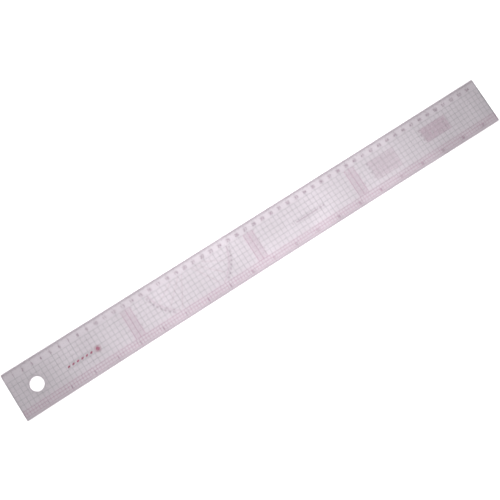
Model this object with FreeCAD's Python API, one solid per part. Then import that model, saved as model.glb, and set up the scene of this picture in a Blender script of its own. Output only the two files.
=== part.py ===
import FreeCAD, Part
import math
import os

# Quilting ruler: a clear plastic plate, 55 cm long, with its print sealed between two
# bonded sheets.
#
# Frame: +X runs along the scales, away from the hanging hole. +Y points at the centimetre
# edge. +Z is up, out of the face that is read. The origin is the middle of the underside.
# A place on the print is given by two distances: "along", from the zero end of the scales,
# and "down", from the centimetre edge.

# Plate
LENGTH = 550.0
WIDTH = 50.0
CORNER_RADIUS = 0.8
EDGE_BREAK = 0.15
HOLE_RADIUS = 7.25
HOLE_ALONG = 24.8
HOLE_DOWN = 25.0
HOLE_CLEARANCE = 1.2

# Layers, from the underside up. Each ink pass has a level of its own, so that lines of
# different colours cross without running into each other.
BACK_SHEET = 0.56
INK = 0.02
BOND_FILM = 0.02
FRONT_SHEET = 0.54
GREY_LEVEL = BACK_SHEET
MAGENTA_LEVEL = GREY_LEVEL + INK
FILM_LEVEL = MAGENTA_LEVEL + INK
CRIMSON_LEVEL = FILM_LEVEL + BOND_FILM
DARK_LEVEL = CRIMSON_LEVEL + INK
FRONT_LEVEL = DARK_LEVEL + INK

# Scales
INCH = 25.4
EIGHTH = INCH / 8
PRINT_MARGIN = 0.3
BROAD_LINE = 0.25
MEDIUM_LINE = 0.15
FINE_LINE = 0.10

# Centimetre edge
MILLIMETRE_TICK = 1.9
HALF_CENTIMETRE_TICK = 2.7
CENTIMETRE_TICK = 3.5
CENTIMETRE_NUMERAL_HEIGHT = 2.6
CENTIMETRE_NUMERAL_DOWN = 6.1
LEAD_START = 8.2
LEAD_END = 9.7

# Half-centimetre grid
GRID_PITCH = 5.0
GRID_TOP = 10.0
GRID_BOTTOM = 40.0

# Inch edge, with a grid of eighth-inch cells above it
INCH_GRID_ROWS = (3, 2, 1)
SIXTEENTH_TICK = 1.0
EIGHTH_TICK = 1.7
INCH_TICK = 2.6
INCH_NUMERAL_HEIGHT = 2.1
INCH_NUMERAL_DOWN = 45.2

# Width scales: narrow ladders with a rung every millimetre, across the grid
WIDTH_SCALES = {"near": 130.0, "middle": 270.0, "far": 390.0}
WIDTH_SCALE_HALF = 5.0
SMALL_NUMERAL_HEIGHT = 1.4

# Fine nets: left side, top side, length, width and the side of a square
FINE_GRIDS = {"large": (410.0, 15.0, 30.0, 20.0, 2.0), "small": (474.0, 15.0, 30.0, 15.0, 1.0)}

# Protractor, centred on the centimetre edge
PROTRACTOR_ALONG = 200.0
ARC_RADIUS = 46.9
ARC_LOW = 13
ARC_HIGH = 57
DEGREE_TICK = 0.8
FIVE_DEGREE_TICK = 1.4
TICK_GAP = 0.25
ANGLE_NUMERAL_LAST = 50
ANGLE_NUMERAL_RADIUS = 48.8
ANGLE_NUMERAL_HEIGHT = 1.4
RAY_ANGLES = (30, 45, 60)
RAY_END = 44.2

# Ornament: a line of sewing stitches that ends at a button
STITCH_FIRST = 58.0
STITCH_PITCH = 4.9
STITCH_COUNT = 6
STITCH_LENGTH = 3.4
STITCH_WIDTH = 1.5
STITCH_LEAN = 24
ORNAMENT_DOWN = 27.5
BUTTON_ALONG = 89.5
BUTTON_RADIUS = 3.2
BUTTON_RIM = 0.25
BUTTON_GAP = 1.0
BUTTON_EYE_RADIUS = 0.35
BUTTON_EYE_OFFSET = 0.65

# Comparison bar: one inch, marked in eighths above and in millimetres below
COMPARISON_ALONG = 317.0
COMPARISON_DOWN = 27.2
COMPARISON_NUMERAL_HEIGHT = 1.8
COMPARISON_GAP = 4.2

# Stroke numerals, one unit high: every stroke is a list of points, and a stroke that
# ends where it starts is a ring.
NUMERAL_WIDTH = 0.6
NUMERAL_PITCH = 0.84
NUMERAL_STROKE = 0.125
ZERO = [
    (0.15, 0), (0.45, 0), (0.6, 0.15), (0.6, 0.85), (0.45, 1), (0.15, 1), (0, 0.85), (0, 0.15), (0.15, 0),
]
BOWL = [
    (0.15, 0), (0.45, 0), (0.6, 0.15), (0.6, 0.4), (0.45, 0.55), (0.15, 0.55), (0, 0.4), (0, 0.15), (0.15, 0),
]
CAP = [
    (0.15, 0.55), (0.45, 0.55), (0.57, 0.67), (0.57, 0.88), (0.45, 1), (0.15, 1), (0.03, 0.88), (0.03, 0.67),
    (0.15, 0.55),
]
STEM = [(0, 0.3), (0, 0.75), (0.2, 1), (0.5, 1)]
STROKES = {
    "0": [ZERO],
    "1": [[(0.1, 0.76), (0.32, 1), (0.32, 0)]],
    "2": [[(0, 0.8), (0.15, 1), (0.45, 1), (0.6, 0.85), (0.6, 0.62), (0, 0), (0.6, 0)]],
    "3": [
        [(0, 0.85), (0.15, 1), (0.45, 1), (0.6, 0.85), (0.6, 0.68), (0.45, 0.54), (0.2, 0.54)],
        [(0.38, 0.54), (0.45, 0.54), (0.6, 0.4), (0.6, 0.15), (0.45, 0), (0.15, 0), (0, 0.15)],
    ],
    "4": [[(0.45, 0), (0.45, 1)], [(0.4, 0.95), (0.02, 0.28), (0.6, 0.28)]],
    "5": [[(0.55, 1), (0.06, 1), (0.03, 0.58), (0.42, 0.58), (0.6, 0.42), (0.6, 0.15), (0.45, 0), (0, 0.05)]],
    "6": [BOWL, STEM],
    "7": [[(0, 1), (0.6, 1), (0.22, 0)]],
    "8": [BOWL, CAP],
    "9": [[(NUMERAL_WIDTH - x, 1 - y) for x, y in stroke] for stroke in (BOWL, STEM)],
    ".": [[(0.22, 0), (0.38, 0)]],
}


def place(along, down, level=0.0):
    """The point at these distances on the print."""
    return FreeCAD.Vector(along - LENGTH / 2, WIDTH / 2 - down, level)


def outline(corners):
    """A closed wire through (along, down) corners."""
    points = [place(along, down) for along, down in corners]
    return Part.makePolygon(points + points[:1])


def rectangle(left, top, right, bottom):
    """A closed rectangular wire on the print."""
    return outline([(left, top), (right, top), (right, bottom), (left, bottom)])


def circle(along, down, radius):
    """A round wire on the print."""
    return Part.Wire(Part.Circle(place(along, down), FreeCAD.Vector(0, 0, 1), radius).toShape())


def pierced(border, windows):
    """The face inside a border and outside its windows, all of them drawn the same way round."""
    return Part.Face([border] + [window.reversed() for window in windows])


def deposit(face, level):
    """The ink that covers a face, at one of the ink levels."""
    solid = face.extrude(FreeCAD.Vector(0, 0, INK))
    solid.translate(FreeCAD.Vector(0, 0, level))
    return solid


def bar(left, top, along_size, down_size, level):
    """A straight inked mark."""
    return Part.makeBox(along_size, down_size, INK, place(left, top + down_size, level))


def ticks(positions, line_width, top, size, level):
    """A row of marks across an edge scale."""
    return [bar(along - line_width / 2, top, line_width, size, level) for along in positions]


def net(columns, rows, column_width, row_width):
    """The face of a net of lines across and along the ruler, with a window in every cell."""
    side = column_width / 2
    end = row_width / 2
    border = rectangle(columns[0] - side, rows[0] - end, columns[-1] + side, rows[-1] + end)
    windows = [
        rectangle(left + side, top + end, right - side, bottom - end)
        for left, right in zip(columns, columns[1:])
        for top, bottom in zip(rows, rows[1:])
    ]
    return pierced(border, windows)


def steps(first, last, pitch):
    """Evenly spaced positions from first to last, both included."""
    return [first + pitch * index for index in range(round((last - first) / pitch) + 1)]


# Numerals

def offset_corner(before, corner, after, half):
    """The corner of a stroke's side, half a stroke to the left of its middle line."""
    sides = []
    for start, end in ((before, corner), (corner, after)):
        if start != end:
            run = math.hypot(end[0] - start[0], end[1] - start[1])
            sides.append(((start[1] - end[1]) / run, (end[0] - start[0]) / run))
    normal_x = sum(side[0] for side in sides) / len(sides)
    normal_y = sum(side[1] for side in sides) / len(sides)
    reach = half / (normal_x ** 2 + normal_y ** 2)
    return (corner[0] + normal_x * reach, corner[1] + normal_y * reach)


def stroke_side(points, half):
    """One side of a stroke, from its first point to its last."""
    closed = points[0] == points[-1]
    side = []
    for index, corner in enumerate(points):
        before = points[index - 1] if index else (points[-2] if closed else corner)
        after = points[index + 1] if index + 1 < len(points) else (points[1] if closed else corner)
        side.append(offset_corner(before, corner, after, half))
    return side


def stroke_face(points, size):
    """The face of one stroke of a numeral of this size, with its lower left corner at the origin."""
    left = stroke_side(points, NUMERAL_STROKE / 2)
    right = stroke_side(points, -NUMERAL_STROKE / 2)
    if points[0] == points[-1]:
        sides = [left[:-1], right[:-1]]
    else:
        sides = [right + left[::-1]]
    wires = []
    for side in sides:
        corners = [FreeCAD.Vector(x * size, y * size, 0) for x, y in side]
        wires.append(Part.makePolygon(corners + corners[:1]))
    wires.sort(key=lambda wire: wire.BoundBox.DiagonalLength, reverse=True)
    return pierced(wires[0], wires[1:])


def glyph(character, size):
    """The inked solid of one character, with its lower left corner at the origin."""
    faces = [stroke_face(points, size) for points in STROKES[character]]
    whole = faces[0]
    for face in faces[1:]:
        whole = whole.fuse(face)
    return whole.removeSplitter().Faces[0].extrude(FreeCAD.Vector(0, 0, INK))


def numeral(text, size, along, down, turn=0.0):
    """The characters of a number, centred on a place and turned about it."""
    span = size * (NUMERAL_PITCH * (len(text) - 1) + NUMERAL_WIDTH)
    solids = []
    for index, character in enumerate(text):
        solid = glyph(character, size)
        solid.translate(FreeCAD.Vector(size * NUMERAL_PITCH * index - span / 2, -size / 2, DARK_LEVEL))
        solid.rotate(FreeCAD.Vector(0, 0, 0), FreeCAD.Vector(0, 0, 1), turn)
        solid.translate(place(along, down))
        solids.append(solid)
    return solids


# Clear layers

def plate(level, thickness):
    """One layer of the plate, with rounded corners and the hanging hole."""
    blank = Part.makeBox(LENGTH, WIDTH, thickness, place(0, WIDTH, level))
    uprights = [edge for edge in blank.Edges if edge.BoundBox.ZLength > thickness / 2]
    blank = blank.makeFillet(CORNER_RADIUS, uprights)
    drill = Part.makeCylinder(HOLE_RADIUS, thickness, place(HOLE_ALONG, HOLE_DOWN, level))
    return blank.cut(drill)


def break_rim(sheet, height):
    """A small chamfer round the outside of a sheet, at one of its faces."""
    rim = []
    for edge in sheet.Edges:
        box = edge.BoundBox
        flat = abs(box.ZMin - height) < INK and abs(box.ZMax - height) < INK
        round_hole = edge.Length > HOLE_RADIUS and isinstance(edge.Curve, Part.Circle)
        if flat and not round_hole:
            rim.append(edge)
    return sheet.makeChamfer(EDGE_BREAK, rim)


def clear_layers():
    """The two bonded sheets and the film that joins them."""
    return {
        "back_sheet": break_rim(plate(0, BACK_SHEET), 0),
        "bond_film": plate(FILM_LEVEL, BOND_FILM),
        "front_sheet": break_rim(plate(FRONT_LEVEL, FRONT_SHEET), FRONT_LEVEL + FRONT_SHEET),
    }


# Grey print

def half_centimetre_grid():
    """The grid from the numerals down to the inch grid, stopping short of the hole."""
    margin = PRINT_MARGIN + BROAD_LINE / 2
    columns = [margin] + steps(GRID_PITCH, LENGTH - GRID_PITCH, GRID_PITCH) + [LENGTH - margin]
    rows = steps(GRID_TOP, GRID_BOTTOM - GRID_PITCH, GRID_PITCH) + [WIDTH - EIGHTH * INCH_GRID_ROWS[0]]
    opening = Part.Face(circle(HOLE_ALONG, HOLE_DOWN, HOLE_RADIUS + HOLE_CLEARANCE))
    lines = net(columns, rows, BROAD_LINE, BROAD_LINE).cut(opening)
    return [deposit(face, GREY_LEVEL) for face in lines.Faces]


def centimetre_leads():
    """Short lines that lead from each centimetre numeral to the grid."""
    centimetres = steps(10, LENGTH - 10, 10)
    return ticks(centimetres, BROAD_LINE, LEAD_START, LEAD_END - LEAD_START, GREY_LEVEL)


# Magenta print

def eighth_inch_grid():
    """Two rows of eighth-inch cells above the inch edge."""
    margin = PRINT_MARGIN + BROAD_LINE / 2
    last = math.floor(LENGTH / EIGHTH)
    columns = [margin] + [EIGHTH * count for count in range(1, last)] + [LENGTH - margin]
    rows = [WIDTH - EIGHTH * count for count in INCH_GRID_ROWS]
    return [deposit(net(columns, rows, BROAD_LINE, BROAD_LINE), MAGENTA_LEVEL)]


def inch_edge_ticks():
    """Marks up from the inch edge: longest at the inches, shortest at the sixteenths."""
    marks = []
    for count in range(1, math.floor(LENGTH / EIGHTH * 2)):
        size = SIXTEENTH_TICK
        if count % 2 == 0:
            size = EIGHTH_TICK
        if count % 16 == 0:
            size = INCH_TICK
        top = WIDTH - PRINT_MARGIN - size
        marks += ticks([EIGHTH / 2 * count], MEDIUM_LINE, top, size, MAGENTA_LEVEL)
    return marks


def width_scale(middle):
    """A ladder across the grid, with a rung every millimetre."""
    rails = [middle - WIDTH_SCALE_HALF, middle, middle + WIDTH_SCALE_HALF]
    rungs = steps(GRID_TOP, GRID_BOTTOM, 1)
    return [deposit(net(rails, rungs, BROAD_LINE, FINE_LINE), MAGENTA_LEVEL)]


def fine_grid(left, top, along_size, down_size, pitch):
    """A net of small squares."""
    columns = steps(left, left + along_size, pitch)
    rows = steps(top, top + down_size, pitch)
    return [deposit(net(columns, rows, FINE_LINE, FINE_LINE), MAGENTA_LEVEL)]


# Protractor

def on_arc(radius, degrees):
    """The (along, down) place at a radius and an angle below the centimetre edge."""
    angle = math.radians(degrees)
    return (PROTRACTOR_ALONG + radius * math.cos(angle), radius * math.sin(angle))


def spoke(inner, outer, degrees, line_width, level):
    """A straight mark that points at the protractor's centre."""
    angle = math.radians(degrees)
    across = line_width / 2 * math.sin(angle)
    up = line_width / 2 * math.cos(angle)
    corners = []
    for radius, side in ((inner, 1), (outer, 1), (outer, -1), (inner, -1)):
        along, down = on_arc(radius, degrees)
        corners.append((along - across * side, down + up * side))
    return deposit(Part.Face(outline(corners)), level)


def both_sides(angles):
    """Angles on the right of the protractor's centre, and their mirrors on the left."""
    return [degrees for angle in angles for degrees in (angle, 180 - angle)]


def protractor_arc():
    """The thin arcs that carry the degree marks, as short straight runs."""
    strips = []
    for low, high in ((ARC_LOW, ARC_HIGH), (180 - ARC_HIGH, 180 - ARC_LOW)):
        degrees = range(low, high + 1)
        outer = [on_arc(ARC_RADIUS, angle) for angle in degrees]
        inner = [on_arc(ARC_RADIUS - FINE_LINE, angle) for angle in degrees]
        strips.append(deposit(Part.Face(outline(outer + inner[::-1])), MAGENTA_LEVEL))
    return strips


def degree_ticks():
    """A mark for every degree inside the arcs, longer at every fifth."""
    outer = ARC_RADIUS - FINE_LINE - TICK_GAP
    marks = []
    for degrees in both_sides(range(ARC_LOW, ARC_HIGH + 1)):
        size = DEGREE_TICK if degrees % 5 else FIVE_DEGREE_TICK
        marks.append(spoke(outer - size, outer, degrees, FINE_LINE, MAGENTA_LEVEL))
    return marks


def angle_rays():
    """Cutting lines at the usual quilting angles, from where they enter the grid."""
    rays = []
    for degrees in both_sides(RAY_ANGLES):
        start = GRID_TOP / math.sin(math.radians(degrees))
        rays.append(spoke(start, RAY_END, degrees, FINE_LINE, CRIMSON_LEVEL))
    return rays


def angle_numerals():
    """The angle at every fifth degree, outside the arcs and read along them."""
    solids = []
    for angle in range(15, ANGLE_NUMERAL_LAST + 1, 5):
        for degrees in (angle, 180 - angle):
            along, down = on_arc(ANGLE_NUMERAL_RADIUS, degrees)
            solids += numeral(str(angle), ANGLE_NUMERAL_HEIGHT, along, down, 90 - degrees)
    return solids


# Crimson ornament

def stitch(along, down):
    """One slanting sewing stitch, pointed at both ends."""
    shape = [(-0.5, 0), (-0.22, -0.5), (0.22, -0.5), (0.5, 0), (0.22, 0.5), (-0.22, 0.5)]
    lean = math.radians(STITCH_LEAN)
    corners = []
    for run, rise in shape:
        x = run * STITCH_LENGTH
        y = rise * STITCH_WIDTH
        across = x * math.cos(lean) + y * math.sin(lean)
        below = y * math.cos(lean) - x * math.sin(lean)
        corners.append((along + across, down + below))
    return deposit(Part.Face(outline(corners)), CRIMSON_LEVEL)


def stitch_ornament():
    """A row of stitches."""
    return [stitch(STITCH_FIRST + STITCH_PITCH * count, ORNAMENT_DOWN) for count in range(STITCH_COUNT)]


def button():
    """A four-hole button: a rim and a pierced disc."""
    rim_outside = circle(BUTTON_ALONG, ORNAMENT_DOWN, BUTTON_RADIUS)
    rim_inside = circle(BUTTON_ALONG, ORNAMENT_DOWN, BUTTON_RADIUS - BUTTON_RIM)
    rim = pierced(rim_outside, [rim_inside])
    eyes = []
    for side in (-1, 1):
        for end in (-1, 1):
            along = BUTTON_ALONG + side * BUTTON_EYE_OFFSET
            eyes.append(circle(along, ORNAMENT_DOWN + end * BUTTON_EYE_OFFSET, BUTTON_EYE_RADIUS))
    disc_radius = BUTTON_RADIUS - BUTTON_RIM - BUTTON_GAP
    disc = pierced(circle(BUTTON_ALONG, ORNAMENT_DOWN, disc_radius), eyes)
    return [deposit(rim, CRIMSON_LEVEL), deposit(disc, CRIMSON_LEVEL)]


# Dark print

def edge_ticks(positions, size):
    """Marks down from the centimetre edge."""
    return ticks(positions, MEDIUM_LINE, PRINT_MARGIN, size, DARK_LEVEL)


def numeral_row(pitch, size, down):
    """Numbers 1, 2, 3 and so on, one at each pitch along the ruler."""
    solids = []
    for count in range(1, math.ceil(LENGTH / pitch)):
        solids += numeral(str(count), size, pitch * count, down)
    return solids


def width_scale_numerals():
    """The distance in centimetres from the numbered edge, beside each width scale."""
    solids = []
    for middle in WIDTH_SCALES.values():
        for centimetres in (1, 2, 3):
            along = middle + WIDTH_SCALE_HALF + SMALL_NUMERAL_HEIGHT
            down = 10 * centimetres + SMALL_NUMERAL_HEIGHT
            solids += numeral(str(centimetres), SMALL_NUMERAL_HEIGHT, along, down)
    return solids


def fine_grid_numerals():
    """Millimetres up the left side of each fine net, read from that side."""
    solids = []
    for left, top, _, down_size, _ in FINE_GRIDS.values():
        for millimetres in steps(5, down_size, 5):
            text = str(round(millimetres))
            down = top + down_size - millimetres + SMALL_NUMERAL_HEIGHT
            solids += numeral(text, SMALL_NUMERAL_HEIGHT, left - SMALL_NUMERAL_HEIGHT, down, 90)
    return solids


def comparison_bar():
    """One inch against millimetres, with its two lengths in figures."""
    line_top = COMPARISON_DOWN - BROAD_LINE / 2
    eighths = [COMPARISON_ALONG + EIGHTH * count for count in range(9)]
    millimetres = [COMPARISON_ALONG + count for count in range(26)]
    end = COMPARISON_ALONG + INCH
    marks = [bar(COMPARISON_ALONG, line_top, INCH, BROAD_LINE, DARK_LEVEL)]
    marks += ticks(eighths, MEDIUM_LINE, line_top - FINE_LINE - EIGHTH_TICK, EIGHTH_TICK, DARK_LEVEL)
    marks += ticks(millimetres, MEDIUM_LINE, line_top + BROAD_LINE + FINE_LINE, SIXTEENTH_TICK, DARK_LEVEL)
    for text, along in (("1", COMPARISON_ALONG - COMPARISON_GAP), ("25.4", end + COMPARISON_GAP)):
        marks += numeral(text, COMPARISON_NUMERAL_HEIGHT, along, COMPARISON_DOWN)
    return marks


def printed_marks():
    """Every ink deposit, by node name."""
    millimetres = [count for count in range(1, round(LENGTH)) if count % 5]
    marks = {
        "half_centimetre_grid": half_centimetre_grid(),
        "centimetre_leads": centimetre_leads(),
        "eighth_inch_grid": eighth_inch_grid(),
        "inch_edge_ticks": inch_edge_ticks(),
        "protractor_arc": protractor_arc(),
        "degree_ticks": degree_ticks(),
        "angle_rays": angle_rays(),
        "angle_numerals": angle_numerals(),
        "stitch_ornament": stitch_ornament(),
        "button_ornament": button(),
        "millimetre_ticks": edge_ticks(millimetres, MILLIMETRE_TICK),
        "half_centimetre_ticks": edge_ticks(steps(5, LENGTH - 5, 10), HALF_CENTIMETRE_TICK),
        "centimetre_ticks": edge_ticks(steps(10, LENGTH - 10, 10), CENTIMETRE_TICK),
        "centimetre_numerals": numeral_row(10, CENTIMETRE_NUMERAL_HEIGHT, CENTIMETRE_NUMERAL_DOWN),
        "inch_numerals": numeral_row(INCH, INCH_NUMERAL_HEIGHT, INCH_NUMERAL_DOWN),
        "width_scale_numerals": width_scale_numerals(),
        "fine_grid_numerals": fine_grid_numerals(),
        "comparison_bar": comparison_bar(),
    }
    for name, middle in WIDTH_SCALES.items():
        marks["width_scale_" + name] = width_scale(middle)
    for name, spread in FINE_GRIDS.items():
        marks["fine_grid_" + name] = fine_grid(*spread)
    return marks


def main():
    os.makedirs("parts", exist_ok=True)
    shapes = clear_layers()
    for node, solids in printed_marks().items():
        shapes[node] = Part.makeCompound(solids)
    for node, shape in shapes.items():
        shape.exportStep("parts/" + node + ".step")
        print(node, len(shape.Solids), "solids", len(shape.Faces), "faces", "valid", shape.isValid())


main()
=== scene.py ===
import math

import bpy
from mathutils import Matrix, Vector


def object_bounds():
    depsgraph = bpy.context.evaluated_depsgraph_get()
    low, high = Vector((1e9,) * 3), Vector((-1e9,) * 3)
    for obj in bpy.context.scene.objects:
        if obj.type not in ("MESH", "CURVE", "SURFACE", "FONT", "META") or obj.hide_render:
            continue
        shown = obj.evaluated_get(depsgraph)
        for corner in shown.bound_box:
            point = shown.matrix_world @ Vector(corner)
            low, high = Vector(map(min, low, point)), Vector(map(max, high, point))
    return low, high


# Camera: where it stands and what it looks at, in metres, and how far round from the ruler's
# length the picture's upright direction lies. Its lens and sensor are in millimetres.
CAMERA_PLACE = Vector((-0.0884, -0.0549, 0.6919))
CAMERA_TARGET = Vector((-0.0119, -0.0008, 0.0))
CAMERA_UPRIGHT = math.radians(57.21)
CAMERA_LENS = 51.35
CAMERA_SENSOR = 36.0

# Floor: a matt pale square just below the ruler, so wide that its corners stay out of sight
FLOOR_GAP = 0.0002
FLOOR_SIZE = 80.0
FLOOR_COLOUR = (0.8, 0.8, 0.8, 1)

# Sky: soft and white, dimmer towards the horizon. Each level is a share of the strength, at the
# sine of a height above the horizon.
SKY_STRENGTH = 1.39
SKY_SINES = (0.0, 0.25, 0.5, 0.8, 1.0)
SKY_LEVELS = (0.55, 0.68, 0.9, 1.0, 1.0)

# Pool lamps: a spot lamp on each side of the ruler, aimed at its middle, and its radius in metres
POOL_PLACE = Vector((-0.002, 0.95, 0.62))
POOL_CONE = math.radians(32)
POOL_POWER = 92.0
POOL_LAMP = 0.12

# Clear vinyl: the share of each colour that one face lets through, with a slight cloudiness
SHEET_TINT = (0.890, 0.881, 0.888)
BOND_TINT = (0.99, 0.985, 0.99)
CLOUD_SCALE = 22
CLOUD_DEPTH = 0.985

# Open faces: the share that they mirror when seen square on, how steeply that rises at low
# angles, and how nearly level a face has to lie to count as one
MIRROR = 0.035
MIRROR_POWER = 5.0
OPEN_FACE = 0.5

# Smudges and scratches on them: roughness, and the turn and scale of each family of scratches
SMUDGE_SCALE = 45
SMUDGE_SPAN = (0.35, 0.75)
SMUDGE_ROUGHNESS = (0.08, 0.22)
SCRATCH_FAMILIES = ((0.35, 130), (-0.9, 110))
SCRATCH_STRETCH = (0.035, 1, 1)
SCRATCH_WIDTH = 0.003
SCRATCH_ROUGHNESS = 0.25
SCRATCH_DEPTH = 0.6

# The ripple in them, whose height is in metres
PEEL_SCALE = 420
BUMP_STRENGTH = 0.12
BUMP_HEIGHT = 0.00005

# Cut edges: frosted, and darkened by painted shade for the darker look of light carried along the
# sheet, over a share of their colour, which fades out as a face turns level
EDGE_SPAN = (0.5, 0.9)
EDGE_FROST_AND_SHADE = (0.20, 0.13, 0.18, 1)
EDGE_FROST_AND_SHADE_COVER = 0.85

# Inks: display colours, 0 to 255, what thick and thin patches do to them, and their fine grain
GREY_INK = (136, 140, 140)
MAGENTA_INK = (150, 96, 126)
CRIMSON_INK = (132, 54, 82)
DARK_INK = (104, 78, 95)
PATCH_SCALE = 260
PATCH_THICK = 0.8
PATCH_THIN = 1.3
PATCH_LIFT = 0.02
GRAIN_SCALE = 2600
GRAIN_ROUGHNESS = (0.42, 0.62)

# The levels of a noise field between which clouds, patches and grain change over
NOISE_SPAN = (0.3, 0.7)

# Bounces: light crosses many clear faces on its way down and back. A path may cross this many,
# and is never cut short at random before the least number of crossings or bounces.
MOST_CROSSINGS = 32
LEAST_CROSSINGS = 16
LEAST_BOUNCES = 2

# Which printed pieces carry which ink
GREY_NODES = ["half_centimetre_grid", "centimetre_leads"]
MAGENTA_NODES = [
    "eighth_inch_grid", "inch_edge_ticks", "width_scale_near", "width_scale_middle", "width_scale_far",
    "fine_grid_large", "fine_grid_small", "protractor_arc", "degree_ticks",
]
CRIMSON_NODES = ["angle_rays", "stitch_ornament", "button_ornament"]
DARK_NODES = [
    "millimetre_ticks", "half_centimetre_ticks", "centimetre_ticks", "centimetre_numerals",
    "inch_numerals", "angle_numerals", "width_scale_numerals", "fine_grid_numerals", "comparison_bar",
]


def linear(colour):
    """A display colour, 0 to 255, as the linear values that shaders take."""
    values = []
    for level in colour:
        share = level / 255
        values.append(share / 12.92 if share <= 0.04045 else ((share + 0.055) / 1.055) ** 2.4)
    return values


def greys(levels):
    """The grey colour of each level."""
    return [(level, level, level, 1) for level in levels]


def node(tree, kind, place, **settings):
    """A new shader node, with its inputs or properties set by name."""
    made = tree.nodes.new(kind)
    made.location = place
    for name, value in settings.items():
        if name in made.inputs:
            made.inputs[name].default_value = value
        else:
            setattr(made, name, value)
    return made


def empty_material(name):
    """A new material with an output node and nothing on it yet."""
    material = bpy.data.materials.new(name)
    material.use_nodes = True
    tree = material.node_tree
    tree.nodes.clear()
    return material, tree, node(tree, "ShaderNodeOutputMaterial", (900, 0))


def noise(tree, place, vector, scale, detail, stretch=(1, 1, 1), turn=0.0):
    """A noise field over the ruler, in object metres, stretched and turned about the upright."""
    mapping = node(tree, "ShaderNodeMapping", (place[0] - 200, place[1]))
    mapping.inputs["Scale"].default_value = stretch
    mapping.inputs["Rotation"].default_value = (0, 0, turn)
    field = node(tree, "ShaderNodeTexNoise", place, Scale=scale, Detail=detail)
    tree.links.new(vector, mapping.inputs["Vector"])
    tree.links.new(mapping.outputs["Vector"], field.inputs["Vector"])
    return field.outputs["Fac"]


def ramp(tree, place, value, positions, colours):
    """A colour that follows a field: each of the colours at its position, and blends between."""
    made = node(tree, "ShaderNodeValToRGB", place)
    elements = made.color_ramp.elements
    elements[0].position, elements[0].color = positions[0], colours[0]
    elements[1].position, elements[1].color = positions[-1], colours[-1]
    for position, colour in zip(positions[1:-1], colours[1:-1]):
        elements.new(position).color = colour
    tree.links.new(value, made.inputs["Fac"])
    return made.outputs["Color"]


def combine(tree, place, operation, *values):
    """A sum, product or other operation on fields and numbers."""
    made = node(tree, "ShaderNodeMath", place, operation=operation)
    for socket, value in zip(made.inputs, values):
        if isinstance(value, (int, float)):
            socket.default_value = value
        else:
            tree.links.new(value, socket)
    return made.outputs[0]


def mix(tree, place, share, first, second):
    """The first shader, with the second over the given share of it."""
    made = node(tree, "ShaderNodeMixShader", place)
    for socket, value in zip(made.inputs, (share, first, second)):
        tree.links.new(value, socket)
    return made.outputs[0]


def scratches(tree, place, vector, turn, scale):
    """Hairline handling scratches: the thin middle of a noise field stretched along one direction."""
    field = noise(tree, place, vector, scale, 1.0, SCRATCH_STRETCH, turn)
    positions = (0.0, 0.5 - SCRATCH_WIDTH, 0.5, 0.5 + SCRATCH_WIDTH, 1.0)
    return ramp(tree, (place[0] + 200, place[1]), field, positions, greys((0, 0, 1, 0, 0)))


def tinted(tree, vector, tint):
    """What a clear face lets through, with a faint cloudiness in its tint."""
    cloud = noise(tree, (-900, 500), vector, CLOUD_SCALE, 3.0)
    deeper = [level * CLOUD_DEPTH for level in tint]
    through = node(tree, "ShaderNodeBsdfTransparent", (200, 500))
    colour = ramp(tree, (-600, 500), cloud, NOISE_SPAN, [(*deeper, 1), (*tint, 1)])
    tree.links.new(colour, through.inputs["Color"])
    return through.outputs[0]


def shiny(tree, vector):
    """The mirroring of an open face, with smudges, hairline scratches and a slight ripple."""
    first, second = SCRATCH_FAMILIES
    marks = combine(tree, (-200, -100), "ADD",
                    scratches(tree, (-900, -800), vector, *first),
                    scratches(tree, (-900, -1100), vector, *second))
    smudge = noise(tree, (-900, 0), vector, SMUDGE_SCALE, 4.0)
    gloss = ramp(tree, (-600, 0), smudge, SMUDGE_SPAN, greys(SMUDGE_ROUGHNESS))
    rough = combine(tree, (0, -100), "MULTIPLY_ADD", marks, SCRATCH_ROUGHNESS, gloss)
    peel = noise(tree, (-900, -1400), vector, PEEL_SCALE, 1.0)
    height = combine(tree, (0, -900), "MULTIPLY_ADD", marks, -SCRATCH_DEPTH, peel)
    bump = node(tree, "ShaderNodeBump", (100, -700), Strength=BUMP_STRENGTH, Distance=BUMP_HEIGHT)
    tree.links.new(height, bump.inputs["Height"])
    shine = node(tree, "ShaderNodeBsdfAnisotropic", (200, 0))
    tree.links.new(rough, shine.inputs["Roughness"])
    tree.links.new(bump.outputs["Normal"], shine.inputs["Normal"])
    return shine.outputs[0]


def mirrored_share(tree, upright, outside):
    """How much an open face mirrors: a little when seen square on, and more at a low angle."""
    turned = combine(tree, (-1200, 900), "MULTIPLY", upright, outside)
    open_face = combine(tree, (-1000, 900), "GREATER_THAN", turned, OPEN_FACE)
    facing = node(tree, "ShaderNodeLayerWeight", (-600, 900), Blend=0.5)
    slant = combine(tree, (-400, 900), "POWER", facing.outputs["Facing"], MIRROR_POWER)
    mirror = combine(tree, (-200, 900), "MULTIPLY_ADD", slant, 1 - MIRROR, MIRROR)
    return combine(tree, (0, 900), "MULTIPLY", mirror, open_face)


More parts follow.
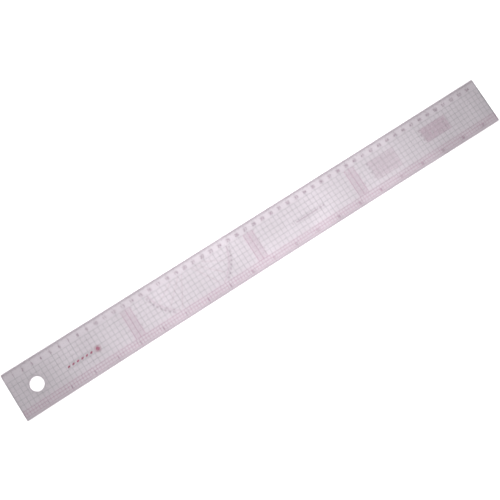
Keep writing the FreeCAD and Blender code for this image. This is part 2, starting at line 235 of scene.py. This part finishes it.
def clear_sheet(name, tint, outside):
    """Clear vinyl with frosted cut edges, whose dark colour is painted shade. Its face that is open to
    the air also mirrors: the upper one where outside is 1, the lower one where it is -1, and neither
    where it is 0."""
    material, tree, output = empty_material(name)
    where = node(tree, "ShaderNodeTexCoord", (-1400, 0))
    normal = node(tree, "ShaderNodeSeparateXYZ", (-1200, -500))
    tree.links.new(where.outputs["Normal"], normal.inputs[0])
    vector, upright = where.outputs["Object"], normal.outputs["Z"]

    surface = tinted(tree, vector, tint)
    if outside:
        share = mirrored_share(tree, upright, outside)
        surface = mix(tree, (450, 300), share, surface, shiny(tree, vector))

    # Upright faces (the cut edges) get a dark diffuse: frosting, plus painted shade for the darker
    # look of light carried along the sheet
    flat = combine(tree, (-1000, -500), "ABSOLUTE", upright)
    cut = ramp(tree, (-800, -500), flat, EDGE_SPAN, greys((EDGE_FROST_AND_SHADE_COVER, 0)))
    frost_and_shade = node(tree, "ShaderNodeBsdfDiffuse", (450, -100), Color=EDGE_FROST_AND_SHADE)
    both = mix(tree, (700, 0), cut, surface, frost_and_shade.outputs[0])
    tree.links.new(both, output.inputs["Surface"])
    return material


def ink(name, display_colour):
    """A thin screen-printed colour: a little uneven in density, with a fine grain."""
    material, tree, output = empty_material(name)
    vector = node(tree, "ShaderNodeTexCoord", (-1000, 0)).outputs["Object"]
    shader = node(tree, "ShaderNodeBsdfPrincipled", (600, 0))
    levels = linear(display_colour)
    thick = [level * PATCH_THICK for level in levels]
    thin = [min(1, level * PATCH_THIN + PATCH_LIFT) for level in levels]
    patch = noise(tree, (-400, 200), vector, PATCH_SCALE, 3.0)
    colour = ramp(tree, (-100, 200), patch, NOISE_SPAN, [(*thick, 1), (*thin, 1)])
    tree.links.new(colour, shader.inputs["Base Color"])
    grain = noise(tree, (-400, -200), vector, GRAIN_SCALE, 1.0)
    rough = ramp(tree, (-100, -200), grain, NOISE_SPAN, greys(GRAIN_ROUGHNESS))
    tree.links.new(rough, shader.inputs["Roughness"])
    tree.links.new(shader.outputs[0], output.inputs["Surface"])
    return material


def put_on(material, names):
    """Gives the material to each of the named CAD pieces."""
    for name in names:
        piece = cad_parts[name]
        piece.data.materials.clear()
        piece.data.materials.append(material)


def make_camera():
    """The camera, turned so that the ruler lies across the picture as it does in the photograph."""
    data = bpy.data.cameras.new("camera")
    data.lens = CAMERA_LENS
    data.sensor_width = CAMERA_SENSOR
    back = (CAMERA_PLACE - CAMERA_TARGET).normalized()
    upright = Vector((math.cos(CAMERA_UPRIGHT), math.sin(CAMERA_UPRIGHT), 0))
    right = upright.cross(back).normalized()
    up = back.cross(right)
    camera = bpy.data.objects.new("camera", data)
    turn = Matrix((right, up, back)).transposed().to_4x4()
    camera.matrix_world = Matrix.Translation(CAMERA_PLACE) @ turn
    bpy.context.scene.collection.objects.link(camera)
    bpy.context.scene.camera = camera


def make_floor(low):
    """The floor, a small gap below the lowest point of the ruler."""
    half = FLOOR_SIZE / 2
    height = low.z - FLOOR_GAP
    corners = [(x * half, y * half, height) for x, y in ((-1, -1), (1, -1), (1, 1), (-1, 1))]
    mesh = bpy.data.meshes.new("floor")
    mesh.from_pydata(corners, [], [(0, 1, 2, 3)])
    floor = bpy.data.objects.new("floor", mesh)
    bpy.context.scene.collection.objects.link(floor)
    material, tree, output = empty_material("floor_paper")
    shader = node(tree, "ShaderNodeBsdfDiffuse", (600, 0), Color=FLOOR_COLOUR)
    tree.links.new(shader.outputs[0], output.inputs["Surface"])
    mesh.materials.append(material)


def make_sky():
    """The sky all round, whose level follows the height above the horizon."""
    world = bpy.data.worlds.new("studio")
    world.use_nodes = True
    tree = world.node_tree
    background = tree.nodes["Background"]
    background.inputs["Strength"].default_value = SKY_STRENGTH
    where = node(tree, "ShaderNodeTexCoord", (-800, 0))
    height = node(tree, "ShaderNodeSeparateXYZ", (-600, 0))
    tree.links.new(where.outputs["Generated"], height.inputs[0])
    level = ramp(tree, (-400, 0), height.outputs["Z"], SKY_SINES, greys(SKY_LEVELS))
    tree.links.new(level, background.inputs["Color"])
    bpy.context.scene.world = world


def make_pool_lamp(side):
    """A spot lamp on one side of the ruler, aimed at its middle."""
    data = bpy.data.lights.new("pool", "SPOT")
    data.spot_size = POOL_CONE
    data.spot_blend = 1.0
    data.shadow_soft_size = POOL_LAMP
    data.energy = POOL_POWER
    lamp = bpy.data.objects.new("pool", data)
    lamp.location = Vector((POOL_PLACE.x, POOL_PLACE.y * side, POOL_PLACE.z))
    aim = lamp.location - Vector((POOL_PLACE.x, 0, 0))
    lamp.rotation_mode = "QUATERNION"
    lamp.rotation_quaternion = aim.to_track_quat("Z", "Y")
    bpy.context.scene.collection.objects.link(lamp)


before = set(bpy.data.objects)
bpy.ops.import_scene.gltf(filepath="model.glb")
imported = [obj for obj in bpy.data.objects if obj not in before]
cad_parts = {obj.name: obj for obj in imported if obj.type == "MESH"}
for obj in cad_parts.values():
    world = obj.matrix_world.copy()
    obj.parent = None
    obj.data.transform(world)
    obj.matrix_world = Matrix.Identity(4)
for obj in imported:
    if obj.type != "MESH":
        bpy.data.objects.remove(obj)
cad_low, cad_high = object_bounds()

put_on(clear_sheet("clear_vinyl_back", SHEET_TINT, -1), ["back_sheet"])
put_on(clear_sheet("bond", BOND_TINT, 0), ["bond_film"])
put_on(clear_sheet("clear_vinyl_front", SHEET_TINT, 1), ["front_sheet"])
put_on(ink("grey_ink", GREY_INK), GREY_NODES)
put_on(ink("magenta_ink", MAGENTA_INK), MAGENTA_NODES)
put_on(ink("crimson_ink", CRIMSON_INK), CRIMSON_NODES)
put_on(ink("dark_ink", DARK_INK), DARK_NODES)

make_camera()
make_floor(cad_low)
make_sky()
for side in (1, -1):
    make_pool_lamp(side)
bpy.context.scene.view_settings.view_transform = "Standard"
bpy.context.scene.cycles.transparent_max_bounces = MOST_CROSSINGS
bpy.context.scene.cycles.min_transparent_bounces = LEAST_CROSSINGS
bpy.context.scene.cycles.min_light_bounces = LEAST_BOUNCES
